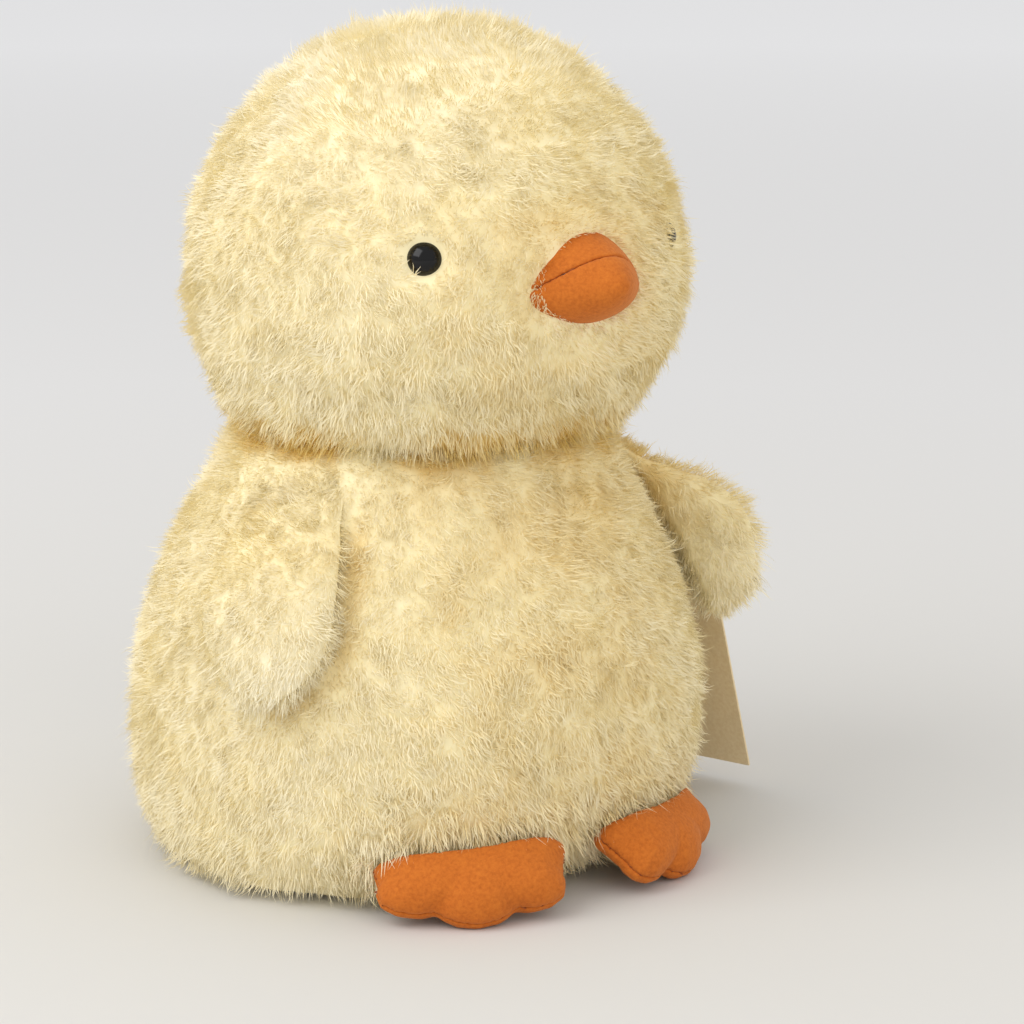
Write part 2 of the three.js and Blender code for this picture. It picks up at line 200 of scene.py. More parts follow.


# Dense crimped fibre at the foot of the pile, in the pile's tones but lighter than the fibres' tips: a painted light
# that offsets the shade the pile casts on it
def backingMaterial():
    material, tree, shader = newMaterial("crimpedUnderpile")
    tone = addNode(tree, "ShaderNodeAttribute", {"attribute_name": "tone"})
    tree.links.new(pileColour(tree, tone.outputs["Fac"], "lightenedBed"), shader.inputs["Base Color"])
    place = addNode(tree, "ShaderNodeTexCoord")
    fibres = addNode(
        tree,
        "ShaderNodeTexNoise",
        {"Scale": 1500.0, "Detail": 3.0, "Distortion": 2.0},
        {"Vector": place.outputs["Object"]},
    )
    relief = addNode(
        tree, "ShaderNodeBump", {"Strength": 0.12, "Distance": 0.0002}, {"Height": fibres.outputs["Fac"]}
    )
    tree.links.new(relief.outputs["Normal"], shader.inputs["Normal"])
    shader.inputs["Roughness"].default_value = 0.95
    shader.inputs["Specular IOR Level"].default_value = 0.1
    return material


# Wool-blend felt: matted short fibres, matte with a faint halo, mottled at about half a millimetre
feltLook = {
    "light": "#CF7529", "mid": "#C46A24", "dark": "#B05B1C", "grain": 0.42, "mottle": 3.2,
    "halo": "#F2B27A",
}


def feltMaterial(look):
    material, tree, shader = newMaterial("woolFelt")
    place = addNode(tree, "ShaderNodeTexCoord")
    grain = addNode(
        tree,
        "ShaderNodeTexNoise",
        {"Scale": 1000 / look["grain"] / 2, "Detail": 4.0, "Roughness": 0.65},
        {"Vector": place.outputs["Object"]},
    )
    mottle = addNode(
        tree,
        "ShaderNodeTexNoise",
        {"Scale": 1000 / look["mottle"] / 2, "Detail": 2.0},
        {"Vector": place.outputs["Object"]},
    )
    both = addNode(
        tree,
        "ShaderNodeMath",
        {"operation": "MULTIPLY_ADD", 1: 0.22},
        {0: mottle.outputs["Fac"], 2: grain.outputs["Fac"]},
    )
    tone = addNode(tree, "ShaderNodeValToRGB", links={"Fac": both.outputs["Value"]})
    setRamp(tone, [(0.36, look["dark"]), (0.6, look["mid"]), (0.84, look["light"])])
    tree.links.new(tone.outputs["Color"], shader.inputs["Base Color"])
    relief = addNode(
        tree,
        "ShaderNodeBump",
        {"Strength": 0.5, "Distance": 0.00025},
        {"Height": grain.outputs["Fac"]},
    )
    tree.links.new(relief.outputs["Normal"], shader.inputs["Normal"])
    shader.inputs["Roughness"].default_value = 0.9
    shader.inputs["Specular IOR Level"].default_value = 0.25
    shader.inputs["Sheen Weight"].default_value = 0.35
    shader.inputs["Sheen Roughness"].default_value = 0.45
    shader.inputs["Sheen Tint"].default_value = linearColour(look["halo"])
    return material


def plainMaterial(name, low, high, size, roughness, specular=0.5):
    material, tree, shader = newMaterial(name)
    place = addNode(tree, "ShaderNodeTexCoord")
    grain = addNode(
        tree, "ShaderNodeTexNoise", {"Scale": 1000 / size / 2, "Detail": 4.0}, {"Vector": place.outputs["Object"]}
    )
    tone = addNode(tree, "ShaderNodeValToRGB", links={"Fac": grain.outputs["Fac"]})
    setRamp(tone, [(0.3, low), (0.7, high)])
    tree.links.new(tone.outputs["Color"], shader.inputs["Base Color"])
    relief = addNode(
        tree, "ShaderNodeBump", {"Strength": 0.2, "Distance": 0.0001}, {"Height": grain.outputs["Fac"]}
    )
    tree.links.new(relief.outputs["Normal"], shader.inputs["Normal"])
    shader.inputs["Roughness"].default_value = roughness
    shader.inputs["Specular IOR Level"].default_value = specular
    return material


pile = pileMaterial()
backing = backingMaterial()
felt = feltMaterial(feltLook)
thread = plainMaterial("polyesterThread", "#8A3E10", "#9A4A16", 0.3, 0.7)
eyeGloss = plainMaterial("polishedAcrylic", "#030202", "#050404", 1.0, 0.13, 0.35)
kraft = plainMaterial("kraftCard", "#E6CEA3", "#F0DCB6", 0.5, 0.9, 0.3)
fibre = plainMaterial("hollowfibre", "#ECE9DF", "#F8F6EF", 1.2, 1.0, 0.2)
pouchCloth = plainMaterial("calicoPouch", "#CFC6B0", "#DED7C4", 0.6, 0.95, 0.2)
nylon = plainMaterial("mouldedNylon", "#DFDCD4", "#E8E6E0", 0.8, 0.4)
print("materials made")

for nodeName, finish in {
    "body_stuffing": fibre,
    "head_stuffing": fibre,
    "foot_right_stuffing": fibre,
    "foot_left_stuffing": fibre,
    "bean_pouch": pouchCloth,
    "eye_washer_right": nylon,
    "eye_washer_left": nylon,
    "tag_pin": nylon,
}.items():
    nodes[nodeName].data.materials.clear()
    nodes[nodeName].data.materials.append(finish)


def dress(piece, finish, body=None, replaced=()):
    piece.data.materials.clear()
    piece.data.materials.append(finish)
    if replaced:
        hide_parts(*replaced)
    if body:
        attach(piece, body)
    return piece


# Felt panels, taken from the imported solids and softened; swelling closes the seam between two of them
def feltPanel(name, node, voxel, smoothing, swell=0, shape=None):
    piece = copyOf(name, node)
    remesh(piece, voxel, smoothing)
    if swell:
        modifier = piece.modifiers.new("Swell", "DISPLACE")
        modifier.strength = swell * mm
        modifier.mid_level = 0
        applyModifiers(piece)
    if shape:
        movePoints(piece, shape(pointsOf(piece)))
    shadeSmooth(piece)
    return piece


def treeOf(piece):
    return BVHTree.FromPolygons([v.co for v in piece.data.vertices], [f.vertices for f in piece.data.polygons])


def stitchSeam(name, panels, middle, ahead, across, look):
    # short stitches in the groove between two panels, found by looking in from outside
    trees = [treeOf(panel) for panel in panels]
    path = []
    for degrees in np.linspace(*look["turns"], 160):
        turn = math.radians(degrees)
        way = ahead * math.cos(turn) + across * math.sin(turn)
        hits = [tree.ray_cast(middle + way * 0.06, -way)[0] for tree in trees]
        hits = [hit for hit in hits if hit is not None]
        if hits:
            path.append(max(hits, key=lambda hit: (hit - middle).dot(way)))
    stitches, gone = [], 0.0
    long, thick = look["stitch"]
    for before, after in zip(path, path[1:]):
        gone += (after - before).length
        if gone < look["stitchSpacing"] * mm:
            continue
        gone = 0.0
        bpy.ops.mesh.primitive_uv_sphere_add(segments=6, ring_count=5, radius=1, location=after)
        stitch = bpy.context.object
        stitch.scale = Vector((thick, thick, long)) * (0.5 * mm)
        stitch.rotation_euler = (after - before).to_track_quat("Z", "Y").to_euler()
        stitches.append(stitch)
    deselectAll()
    for stitch in stitches:
        stitch.select_set(True)
    bpy.context.view_layer.objects.active = stitches[0]
    bpy.ops.object.join()
    piece = bpy.context.object
    piece.name = piece.data.name = name
    settle(piece)
    shadeSmooth(piece)
    return piece


# Beak: two stuffed felt panels and the stitches between them
beak = {
    "voxel": 0.5, "smoothing": 4, "swell": 0.2, "fill": 0.8, "slope": 30, "seam": Vector((0, -69, 150.2)),
    "half": 14.5, "corner": 4, "droop": 3.2, "plump": 1.1, "behind": 6, "deep": 14, "inside": 12,
    "turns": (-78, 78), "stitchSpacing": 2.1, "stitch": (1.6, 0.4),
}
beakPanels = []
for half in ("upper", "lower"):
    panel = feltPanel(f"beak_{half}_panel", f"beak_{half}", beak["voxel"], beak["smoothing"], beak["swell"])
    dress(panel, felt, "toy", [f"beak_{half}"])
    beakPanels.append(panel)
slope = math.radians(beak["slope"])
ahead, across = Vector((0, -math.cos(slope), math.sin(slope))), Vector((1, 0, 0))
middle = beak["seam"] * mm - ahead * (beak["inside"] * mm)
seam = stitchSeam("beak_stitches", beakPanels, middle, ahead, across, beak)
dress(seam, thread, "toy")
filling = copyOf("beak_filling", "beak_stuffing")
shadeSmooth(filling)
dress(filling, fibre, "toy", ["beak_stuffing"])


def beakShape(points):
    # the seam's ends are sewn down as corners on the face, and the panels swell between them
    local = points / mm - np.array(beak["seam"])
    forward = local @ np.array(ahead)
    height = local[:, 2] - forward * ahead.z
    share = np.minimum(np.abs(local[:, 0]) / beak["half"], 1.2)
    back = np.clip(1 - (forward + beak["behind"]) / beak["deep"], 0, 1)
    local[:, 0] += np.sign(local[:, 0]) * beak["corner"] * share**3 * back
    local[:, 2] += height * (beak["plump"] - 1) * (1 - share**2) - beak["droop"] * share**2
    return (local + np.array(beak["seam"])) * mm


for piece in beakPanels + [seam, filling]:
    movePoints(piece, beakShape(pointsOf(piece)))
print("beak made")

# Feet: three toes each, stitched all round but at the heel
feet = {
    "voxel": 0.55, "smoothing": 3, "swell": 0.2, "fill": 0.7,
    "turns": (-104, 104), "stitchSpacing": 2.1, "stitch": (1.8, 0.45),
    "spacing": 25, "hinge": -52.82, "seam": 13.77, "turn": 28, "slope": 40, "middle": 4,
    "ahead": 12.8, "behind": 6, "outer": 22.5, "inner": 21.5, "toeSpread": 50,
    "creases": ((-1.5, 0.5), (-0.5, 1), (0.5, 1), (1.5, 0.5)), "notch": 1.0, "wander": 2.5,
    "creaseWidth": 1.4, "creaseHeight": 4.5, "wrinkle": (7, 0.3), "pucker": (2.8, 0.1),
}


def footShape(side):
    origin = np.array((side * feet["spacing"], feet["hinge"], feet["seam"]))
    turn, slope = math.radians(side * feet["turn"]), math.radians(feet["slope"])
    ahead = np.array((math.sin(turn) * math.cos(slope), -math.cos(turn) * math.cos(slope), -math.sin(slope)))
    across = np.array((math.cos(turn), math.sin(turn), 0))
    upward = np.cross(ahead, across)
    middle = origin + ahead * feet["middle"]

    def shape(points):
        # the felt is drawn in between the toes, and wrinkles a little way up from there
        local = points / mm - middle
        forward, sideways, height = local @ ahead, local @ across, local @ upward
        reach = np.hypot(forward, sideways)
        half = np.where(sideways * side > 0, feet["outer"], feet["inner"])
        along = np.where(forward > 0, feet["ahead"], feet["behind"])
        angle = np.degrees(np.arctan2(sideways / half, forward / along))
        outer = np.clip((np.hypot(sideways / half, forward / along) - 0.5) / 0.4, 0, 1)
        crease = np.zeros(len(points))
        for share, depth in feet["creases"]:
            wander = feet["wander"] * np.sin(height * 0.4 + 3 * share)
            off = np.radians(angle - share * feet["toeSpread"] - wander) * reach
            crease = np.maximum(crease, depth * np.exp(-((off / feet["creaseWidth"]) ** 2)))
        fade = np.exp(-((np.maximum(height, 0) / feet["creaseHeight"]) ** 2))
        inward = (ahead * forward[:, None] + across * sideways[:, None]) / np.maximum(reach, 1)[:, None]
        points = points - inward * (crease * outer * fade * feet["notch"] * mm)[:, None]
        (broad, high), (fine, low) = feet["wrinkle"], feet["pucker"]
        wrinkle = patch(points * np.array((1, 1, 0.4)), broad, 4 + side) * high + patch(points, fine, 8 + side) * low
        points += inward * (wrinkle * outer * mm)[:, None]
        points[:, 2] = np.maximum(points[:, 2], 0)
        return points

    return shape, Vector(middle) * mm, Vector(ahead), Vector(across)


def patch(points, size, seed):
    shift = Vector((seed * 2.9, seed * 6.1, seed * 1.7))
    return np.array([noise.noise(Vector(p) / (size * mm) + shift) for p in points])


footPanels = []
for side, name in ((-1, "right"), (1, "left")):
    shape, middle, ahead, across = footShape(side)
    panels = []
    for half in ("upper", "sole"):
        node = f"foot_{name}_{half}"
        panel = feltPanel(f"{node}_panel", node, feet["voxel"], feet["smoothing"], feet["swell"], shape)
        dress(panel, felt, f"foot_{name}", [node])
        panels.append(panel)
    seam = stitchSeam(f"foot_{name}_stitches", panels, middle, ahead, across, feet)
    dress(seam, thread, f"foot_{name}")
    footPanels += panels
print("feet made")


# Eyes: a domed button with a thin rim, polished, on a stem; each is sunk and overgrown a little differently
eye = {
    "radius": 4.2, "dome": 4.0, "rim": 0.8, "back": 0.15, "angle": 39.5, "rise": 10.6,
    "stemRadius": 1.9, "stemLength": 9.5,
}
overgrown = {
    -1: {"depth": 5.9, "dent": 2.3, "bare": 4.4, "length": -0.35},
    1: {"depth": 6.6, "dent": 1.6, "bare": 4.3, "length": -0.1},
}
head = {"radius": 60, "middle": Vector((0, -8, 142))}


def eyeWay(side):
    rise = math.asin(eye["rise"] / head["radius"])
    turn = math.radians(eye["angle"])
    return Vector((side * math.sin(turn) * math.cos(rise), -math.cos(turn) * math.cos(rise), math.sin(rise)))


eyeButtons = []
for side, name in ((-1, "right"), (1, "left")):
    way = eyeWay(side)
    seat = head["middle"] + way * (head["radius"] - overgrown[side]["depth"])
    bpy.ops.mesh.primitive_uv_sphere_add(segments=48, ring_count=24, radius=eye["radius"] * mm)
    piece = bpy.context.object
    piece.name = piece.data.name = f"eye_{name}_button"
    points = pointsOf(piece)
    up = points[:, 2] > 0
    points[up, 2] = points[up, 2] * eye["dome"] / eye["radius"] + eye["rim"] * mm
    points[~up, 2] *= eye["back"]  # the flat back that bears on the fabric
    movePoints(piece, points)
    stemLength = eye["stemLength"]
    bpy.ops.mesh.primitive_cylinder_add(
        vertices=20, radius=eye["stemRadius"] * mm, depth=stemLength * mm, location=(0, 0, -stemLength / 2 * mm)
    )
    stem = bpy.context.object
    deselectAll()
    stem.select_set(True)
    piece.select_set(True)
    bpy.context.view_layer.objects.active = piece
    bpy.ops.object.join()
    piece.rotation_euler = way.to_track_quat("Z", "Y").to_euler()
    piece.location = seat * mm
    settle(piece)
    shadeSmooth(piece, 40)
    eyeButtons.append(dress(piece, eyeGloss, "toy", [f"eye_{name}"]))
print("eyes made")


# The backing under the pile, lumpy where the fibres are bedded
lump = {"broad": 12.0, "high": 0.65, "fine": 5.0, "low": 0.3, "tuft": 3.2, "dimple": 0.1}


def backingForm(name, node, voxel, depth, smoothing, seed):
    piece = copyOf(name, node)
    bpy.ops.object.mode_set(mode="EDIT")
    bpy.ops.mesh.select_all(action="SELECT")
    bpy.ops.mesh.convex_hull(delete_unused=True, use_existing_faces=False)
    bpy.ops.object.mode_set(mode="OBJECT")
    remesh(piece, voxel, smoothing)
    modifier = piece.modifiers.new("Inset", "DISPLACE")
    modifier.strength = -depth * mm
    modifier.mid_level = 0
    applyModifiers(piece)
    points = pointsOf(piece)
    normals = np.empty(len(points) * 3)
    piece.data.vertices.foreach_get("normal", normals)
    tufts = np.array([noise.voronoi(Vector(p) / (lump["tuft"] * mm))[0][0] for p in points])
    lumps = lump["high"] * patch(points, lump["broad"], seed) + lump["low"] * patch(points, lump["fine"], seed + 4)
    lumps -= lump["dimple"] * tufts
    movePoints(piece, points + normals.reshape(-1, 3) * (lumps * mm)[:, None])
    shadeSmooth(piece)
    return piece


wingHinge = {
    "height": 102, "reach": 50.8, "forward": 16, "seated": 0.72, "left": 0.1, "sunk": 3,
    "over": 0.05, "softened": 0.4, "bend": 14,
}


def wingLine(piece, side):
    forward = math.radians(wingHinge["forward"])
    hinge = np.array((side * math.cos(forward), -math.sin(forward), 0)) * wingHinge["reach"]
    hinge = (hinge + np.array((0, 0, wingHinge["height"]))) * mm
    points = pointsOf(piece)
    tip = points[np.argmax(np.linalg.norm(points - hinge, axis=1))]
    reach = np.linalg.norm(tip - hinge)
    return hinge, (tip - hinge) / reach, reach


def seatRoot(piece, body, line):
    # the sewn end of a wing is drawn flat against the body, and swells from there to the tip
    hinge, along, reach = line
    tree, points = treeOf(body), pointsOf(piece)
    share = ((points - hinge) @ along) / reach
    kept = np.clip((share + wingHinge["over"]) / wingHinge["seated"], 0, 1)
    kept = wingHinge["left"] + (1 - wingHinge["left"]) * kept * kept * (3 - 2 * kept)
    for i in np.nonzero(kept < 1)[0]:
        at, out, face, off = tree.find_nearest(Vector(points[i]))
        lift = (Vector(points[i]) - at).dot(out)
        if lift > 0:
            points[i] -= np.array(out) * (lift * (1 - kept[i]) + wingHinge["sunk"] * mm * (1 - kept[i]) ** 2)
    movePoints(piece, points)
    group = piece.vertex_groups.new(name="root")
    for i, weight in enumerate(np.clip(1.2 - share / wingHinge["softened"], 0, 1)):
        if weight > 0:
            group.add([i], weight, "REPLACE")
    modifier = piece.modifiers.new("Soften", "SMOOTH")
    modifier.factor = 0.8
    modifier.iterations = 20
    modifier.vertex_group = "root"
    applyModifiers(piece)
    piece.vertex_groups.clear()


backs = {
    "head": {"node": "head_cover", "voxel": 1.1, "depth": 1.7, "smoothing": 3, "body": "toy"},
    "body": {"node": "body_cover", "voxel": 1.1, "depth": 1.7, "smoothing": 3, "body": "toy"},
    "wing_right": {"node": "wing_right_cover", "voxel": 1.0, "depth": 1.3, "smoothing": 5, "body": "wing_right"},
    "wing_left": {"node": "wing_left_cover", "voxel": 1.0, "depth": 1.3, "smoothing": 5, "body": "wing_left"},
}
hem = {"base": 10, "baseGap": 1.0, "neck": 12, "neckLap": 1.2, "eyeDepth": 6, "eyeWidth": 6.2}
neck = 106 * mm
for seed, (part, back) in enumerate(backs.items()):
    piece = backingForm(f"{part}_backing", back["node"], back["voxel"], back["depth"], back["smoothing"], seed)
    if part.startswith("wing"):
        back["line"] = wingLine(piece, 1 if part.endswith("left") else -1)
        seatRoot(piece, backs["body"]["piece"], back["line"])
        filling = copyOf(f"{part}_filling", f"{part}_stuffing")
        remesh(filling, 1.2, 3)
        seatRoot(filling, backs["body"]["piece"], back["line"])
        shadeSmooth(filling)
        back["filling"] = dress(filling, fibre, None, [f"{part}_stuffing"])
    points = pointsOf(piece)
    depth = back["depth"] * mm
    if part == "body":
        low = np.clip(1 - (points[:, 2] - depth) / (hem["base"] * mm), 0, 1)
        points[:, 2] -= low * (depth - hem["baseGap"] * mm)
        high = np.clip((points[:, 2] - neck + depth + hem["neck"] * mm) / (hem["neck"] * mm), 0, 1)
        points[:, 2] += high * (depth + hem["neckLap"] * mm)
    if part == "head":
        low = np.clip(1 - (points[:, 2] - neck - depth) / (hem["neck"] * mm), 0, 1)
        points[:, 2] -= low * (depth + hem["neckLap"] * mm)
        for side in (-1, 1):
            way = eyeWay(side)
            middle = np.array((head["middle"] + way * (head["radius"] - hem["eyeDepth"])) * mm)
            off = np.linalg.norm(points - middle, axis=1)
            dent = overgrown[side]["dent"] * mm * np.exp(-((off / (hem["eyeWidth"] * mm)) ** 4))
            points -= np.array(way) * dent[:, None]
    movePoints(piece, points)
    back["piece"] = piece
print("backing made")


# Pile: tapered fibres gathered into locks, each fibre a closed three-sided spindle
def facesOf(piece):
    mesh = piece.data
    count = len(mesh.polygons)
    middles, normals, areas = np.empty(count * 3), np.empty(count * 3), np.empty(count)
    mesh.polygons.foreach_get("center", middles)
    mesh.polygons.foreach_get("normal", normals)
    mesh.polygons.foreach_get("area", areas)
    return middles.reshape(-1, 3), normals.reshape(-1, 3), areas


def unit(vectors):
    return vectors / np.maximum(np.linalg.norm(vectors, axis=-1, keepdims=True), 1e-9)


def tangentTo(normals, vectors):
    return vectors - normals * np.sum(normals * vectors, axis=1, keepdims=True)


def swirl(points, size, seed):
    shift = Vector((seed * 7.3, seed * 3.1, seed * 5.7))
    return np.array([noise.noise_vector(Vector(p) / (size * mm) + shift) for p in points])


def meanBy(groups, count, values):
    sums = np.zeros((count, 3))
    np.add.at(sums, groups, values)
    return sums / np.bincount(groups, minlength=count)[:, None]


# How fibres differ: the root's depth in mm, angles in degrees, and the rest as shares
strand = {
    "root": 0.6, "scatter": 0.6, "rise": 25, "riseSpread": 10, "leanSpread": 10, "curlSpread": 16,
    "lockSpread": 0.2, "longSpread": 0.15, "toneSpread": 0.03, "gatherLeast": 0.7, "gatherSpread": 0.6,
    "tilt": 0.06, "girth": 0.58, "flat": 0.3, "uvMargin": 0.03, "mostFaces": 198000,
}

# Painted light and shade: the pile's tone is creamier on the back, on the right side towards the key lamp and on the
# crown where the light falls, and golder near the floor and in a band down the front-left, the side turned from the
# key lamp; the mottle is the pile's own
pileTone = {
    "middle": 0.59, "front": 0.15, "mottle": 0.09, "mottleSize": 11, "low": 0.04, "crownLight": 0.2,
    "lowHeight": 50, "frontStart": 2, "startFade": 20, "frontEnd": 62, "endFade": 10,
    "crownHeight": 160, "crownFade": 30,
}
frontWay = np.array((0.79, -0.61, 0))


def toneAt(points):
    # painted shade near the floor and down the front-left, painted light on the crown
    low = pileTone["low"] * np.clip(1 - points[:, 2] / (pileTone["lowHeight"] * mm), 0, 1)
    along = points @ frontWay
    front = 0.5 + 0.5 * np.tanh((along - pileTone["frontStart"] * mm) / (pileTone["startFade"] * mm))
    front *= 0.5 - 0.5 * np.tanh((along - pileTone["frontEnd"] * mm) / (pileTone["endFade"] * mm))
    crownLight = np.clip((points[:, 2] - pileTone["crownHeight"] * mm) / (pileTone["crownFade"] * mm), 0, 1)
    mottle = pileTone["mottle"] * patch(points, pileTone["mottleSize"], 3)
    return pileTone["middle"] - pileTone["front"] * front + mottle - low + pileTone["crownLight"] * crownLight


def growPile(piece, coat, seed, flowOf, lengthOf=None, toneOf=None, bareOf=None):
    rng = np.random.default_rng(seed)
    middles, normals, areas = facesOf(piece)
    weight = areas.copy()
    if bareOf is not None:
        weight[bareOf(middles, normals)] = 0
    fibres = int(weight.sum() / mm**2 * coat["density"])
    face = rng.choice(len(areas), fibres, p=weight / weight.sum())
    n = normals[face]
    side = unit(np.cross(n, unit(rng.standard_normal((fibres, 3)))))
    root = middles[face] + side * (np.sqrt(areas[face]) * strand["scatter"] * rng.random(fibres))[:, None]
    root -= n * (strand["root"] * mm)
    # the nearest lock, and what its fibres share
    size = coat["lock"] * mm
    centres = np.array([noise.voronoi(Vector(p) / size)[1][0] for p in root]) * size
    keys = np.round(centres / (0.02 * mm)).astype(np.int64)
    first, of = np.unique(keys, axis=0, return_index=True, return_inverse=True)[1:]
    of = of.reshape(-1)
    locks = len(first)
    lockMiddle, lockNormal = meanBy(of, locks, root), unit(meanBy(of, locks, n))
    flow = tangentTo(lockNormal, flowOf(lockMiddle, lockNormal))
    pull = np.minimum(np.linalg.norm(flow, axis=1), 1)
    flow = unit(flow)
    spin = np.radians(coat["spin"] * rng.standard_normal(locks))[:, None]
    flow = flow * np.cos(spin) + np.cross(lockNormal, flow) * np.sin(spin)
    length = coat["length"] * mm * (1 + strand["lockSpread"] * rng.standard_normal(locks).clip(-1.8, 1.8))
    if lengthOf is not None:
        length = length * lengthOf(lockMiddle)
    lean = (coat["lean"] + coat["leanSpread"] * rng.standard_normal(locks)) * pull
    curl = coat["curl"] * rng.standard_normal(locks)
    tone = toneAt(lockMiddle) + strand["toneSpread"] * rng.standard_normal(locks)
    if toneOf is not None:
        tone = tone + toneOf(lockMiddle)
    f = unit(tangentTo(n, flow[of]))
    b = np.cross(n, f)
    offset = tangentTo(n, root - lockMiddle[of])
    long = length[of] * (1 + strand["longSpread"] * rng.standard_normal(fibres)).clip(0.5, 1.5)
    start = np.radians((strand["rise"] + strand["riseSpread"] * rng.standard_normal(fibres)) * pull[of])
    end = np.radians(lean[of] + strand["leanSpread"] * rng.standard_normal(fibres))
    turn = np.radians(curl[of] + strand["curlSpread"] * rng.standard_normal(fibres))
    line = [root]
    for before, after in zip(coat["sections"], coat["sections"][1:]):
        share = (before + after) / 2
        angle = (start + (end - start) * share)[:, None]
        sideways = (turn * share * 2)[:, None]
        way = n * np.cos(angle) + (f * np.cos(sideways) + b * np.sin(sideways)) * np.sin(angle)
        crimp = rng.standard_normal((fibres, 3)) * coat["crimp"] * mm
        line.append(line[-1] + way * (long * (after - before))[:, None] + crimp)
    gather = coat["gather"] * (strand["gatherLeast"] + strand["gatherSpread"] * rng.random(fibres))[:, None]
    line = [point - offset * gather * share for point, share in zip(line, coat["sections"])]
    tone = tone[of] + strand["toneSpread"] * rng.standard_normal(fibres)
    return {"line": line, "normal": n, "tone": tone, "rng": rng, "coat": coat}


def pilePiece(name, grown, chosen):
    line = [point[chosen] for point in grown["line"]]
    coat, rng, tone, n = grown["coat"], grown["rng"], grown["tone"][chosen], grown["normal"][chosen]
    fibres, rings = len(tone), len(line) - 2
    along = unit(line[-1] - line[0])
    # flattened, with the broad side outwards, so that the pile takes the light as a surface does
    across = unit(tangentTo(along, np.cross(n, along) + strand["tilt"] * rng.standard_normal((fibres, 3))))
    outward = np.cross(along, across)
    corners = [line[0]]
    for point, width in zip(line[1:-1], coat["width"]):
        for degrees in (30, 150, 270):
            angle = math.radians(degrees)
            way = across * math.cos(angle) + outward * math.sin(angle) * strand["flat"]
            corners.append(point + way * width * strand["girth"] * mm)
    corners.append(line[-1])
    last = 1 + 3 * rings
    faces = [(0, 1 + (step + 1) % 3, 1 + step) for step in range(3)]
    for ring in range(rings - 1):
        low = 1 + 3 * ring
        for step in range(3):
            a, c = low + step, low + (step + 1) % 3
            faces += [(a, c, c + 3), (a, c + 3, a + 3)]
    faces += [(last - 3 + step, last - 3 + (step + 1) % 3, last) for step in range(3)]
    faces = np.array(faces)
    corner = last + 1
    index = (np.arange(fibres)[:, None, None] * corner + faces[None]).reshape(-1)
    mesh = bpy.data.meshes.new(name)
    mesh.vertices.add(fibres * corner)
    mesh.vertices.foreach_set("co", np.stack(corners, axis=1).astype(np.float32).ravel())
    mesh.loops.add(len(index))
    mesh.loops.foreach_set("vertex_index", index.astype(np.int32))
    mesh.polygons.add(len(index) // 3)
    mesh.polygons.foreach_set("loop_start", np.arange(0, len(index), 3, dtype=np.int32))
    mesh.update(calc_edges=True)
    share = np.array([0] + [s for s in coat["sections"][1:-1] for step in range(3)] + [1])
    # the bake map holds each fibre's tone across and the way from root to tip along
    uv, margin = np.empty((len(index), 2), np.float32), strand["uvMargin"]
    uv[:, 0] = np.repeat(tone.clip(margin, 1 - margin), len(faces) * 3)
    uv[:, 1] = np.tile(share[faces.ravel()] * (1 - 2 * margin) + margin, fibres)
    layer = mesh.uv_layers.new(name="OFBake")
    layer.data.foreach_set("uv", uv.ravel())
    mesh.polygons.foreach_set("use_smooth", np.zeros(len(index) // 3, bool))
    piece = bpy.data.objects.new(name, mesh)
    bpy.context.scene.collection.objects.link(piece)
    piece.data.materials.append(pile)
    return piece


def pilePieces(name, grown, body=None):
    # sectors round the middle, each under the size that one piece may have
    line = grown["line"]
    most = strand["mostFaces"] // (6 * (len(line) - 2))
    middle = line[0].mean(axis=0)
    turn = np.arctan2(line[0][:, 1] - middle[1], line[0][:, 0] - middle[0])
    order = np.argsort(turn, kind="stable")
    pieces = []
    for number, chosen in enumerate(np.array_split(order, math.ceil(len(order) / most))):
        pieces.append(pilePiece(f"{name}_{number + 1}", grown, chosen))
        if body:
            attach(pieces[-1], body)
    return pieces


searched = 14 * mm  # how far from a fibre another piece is looked for


def keepOutside(line, piece, gap):
    # a fibre that would run into the piece lies along it
    tree, points = treeOf(piece), pointsOf(piece)
    low, high = points.min(axis=0) - gap * mm, points.max(axis=0) + gap * mm
    for point in line[1:]:
        for i in np.nonzero(np.all((point > low) & (point < high), axis=1))[0]:
            at, out, face, off = tree.find_nearest(Vector(point[i]), searched)
            if at is not None and (Vector(point[i]) - at).dot(out) < gap * mm:
                point[i] = at + out * gap * mm


def keepAboveFloor(line, rng):
    for point in line[1:]:
        low = point[:, 2] < 0.6 * mm
        point[low, 2] = 0.6 * mm + 1.2 * mm * rng.random(low.sum())


# The pile stays behind the card's plane, and does so as far as the card swings
card = {"yaw": 15, "lean": 18.5, "swept": 16, "gap": 0.4, "bevel": 0.08}
cardYaw, cardLean = math.radians(card["yaw"]), math.radians(card["lean"])
cardOut = math.cos(cardLean)
cardWay = np.array([cardOut * math.cos(cardYaw), cardOut * math.sin(cardYaw), math.sin(cardLean)])
cardPoints = pointsOf(nodes["swing_tag"])
cardBack = float(np.min(cardPoints @ cardWay))
cardLow, cardHigh = cardPoints.min(axis=0), cardPoints.max(axis=0)


def keepOffCard(line):
    for point in line[1:]:
        near = np.all((point > cardLow - card["swept"] * mm) & (point < cardHigh + card["swept"] * mm), axis=1)
        over = (point @ cardWay) - (cardBack - card["gap"] * mm)
        push = near & (over > 0)
        point[push] -= cardWay * over[push][:, None]


# Two coats: a dense short one, and longer loose locks over it
under = {
    "length": 3.8, "density": 2.36, "lock": 3.6, "sections": [0, 0.5, 1], "width": [0.235],
    "lean": 66, "leanSpread": 6, "curl": 14, "spin": 14, "gather": 0.08, "crimp": 0.16,
}
top = {
    "length": 4.9, "density": 0.42, "lock": 4.2, "sections": [0, 0.34, 0.68, 1], "width": [0.17, 0.13],
    "lean": 66, "leanSpread": 12, "curl": 40, "spin": 30, "gather": 0.5, "crimp": 0.2,
}
coats = {"under": under, "top": top}

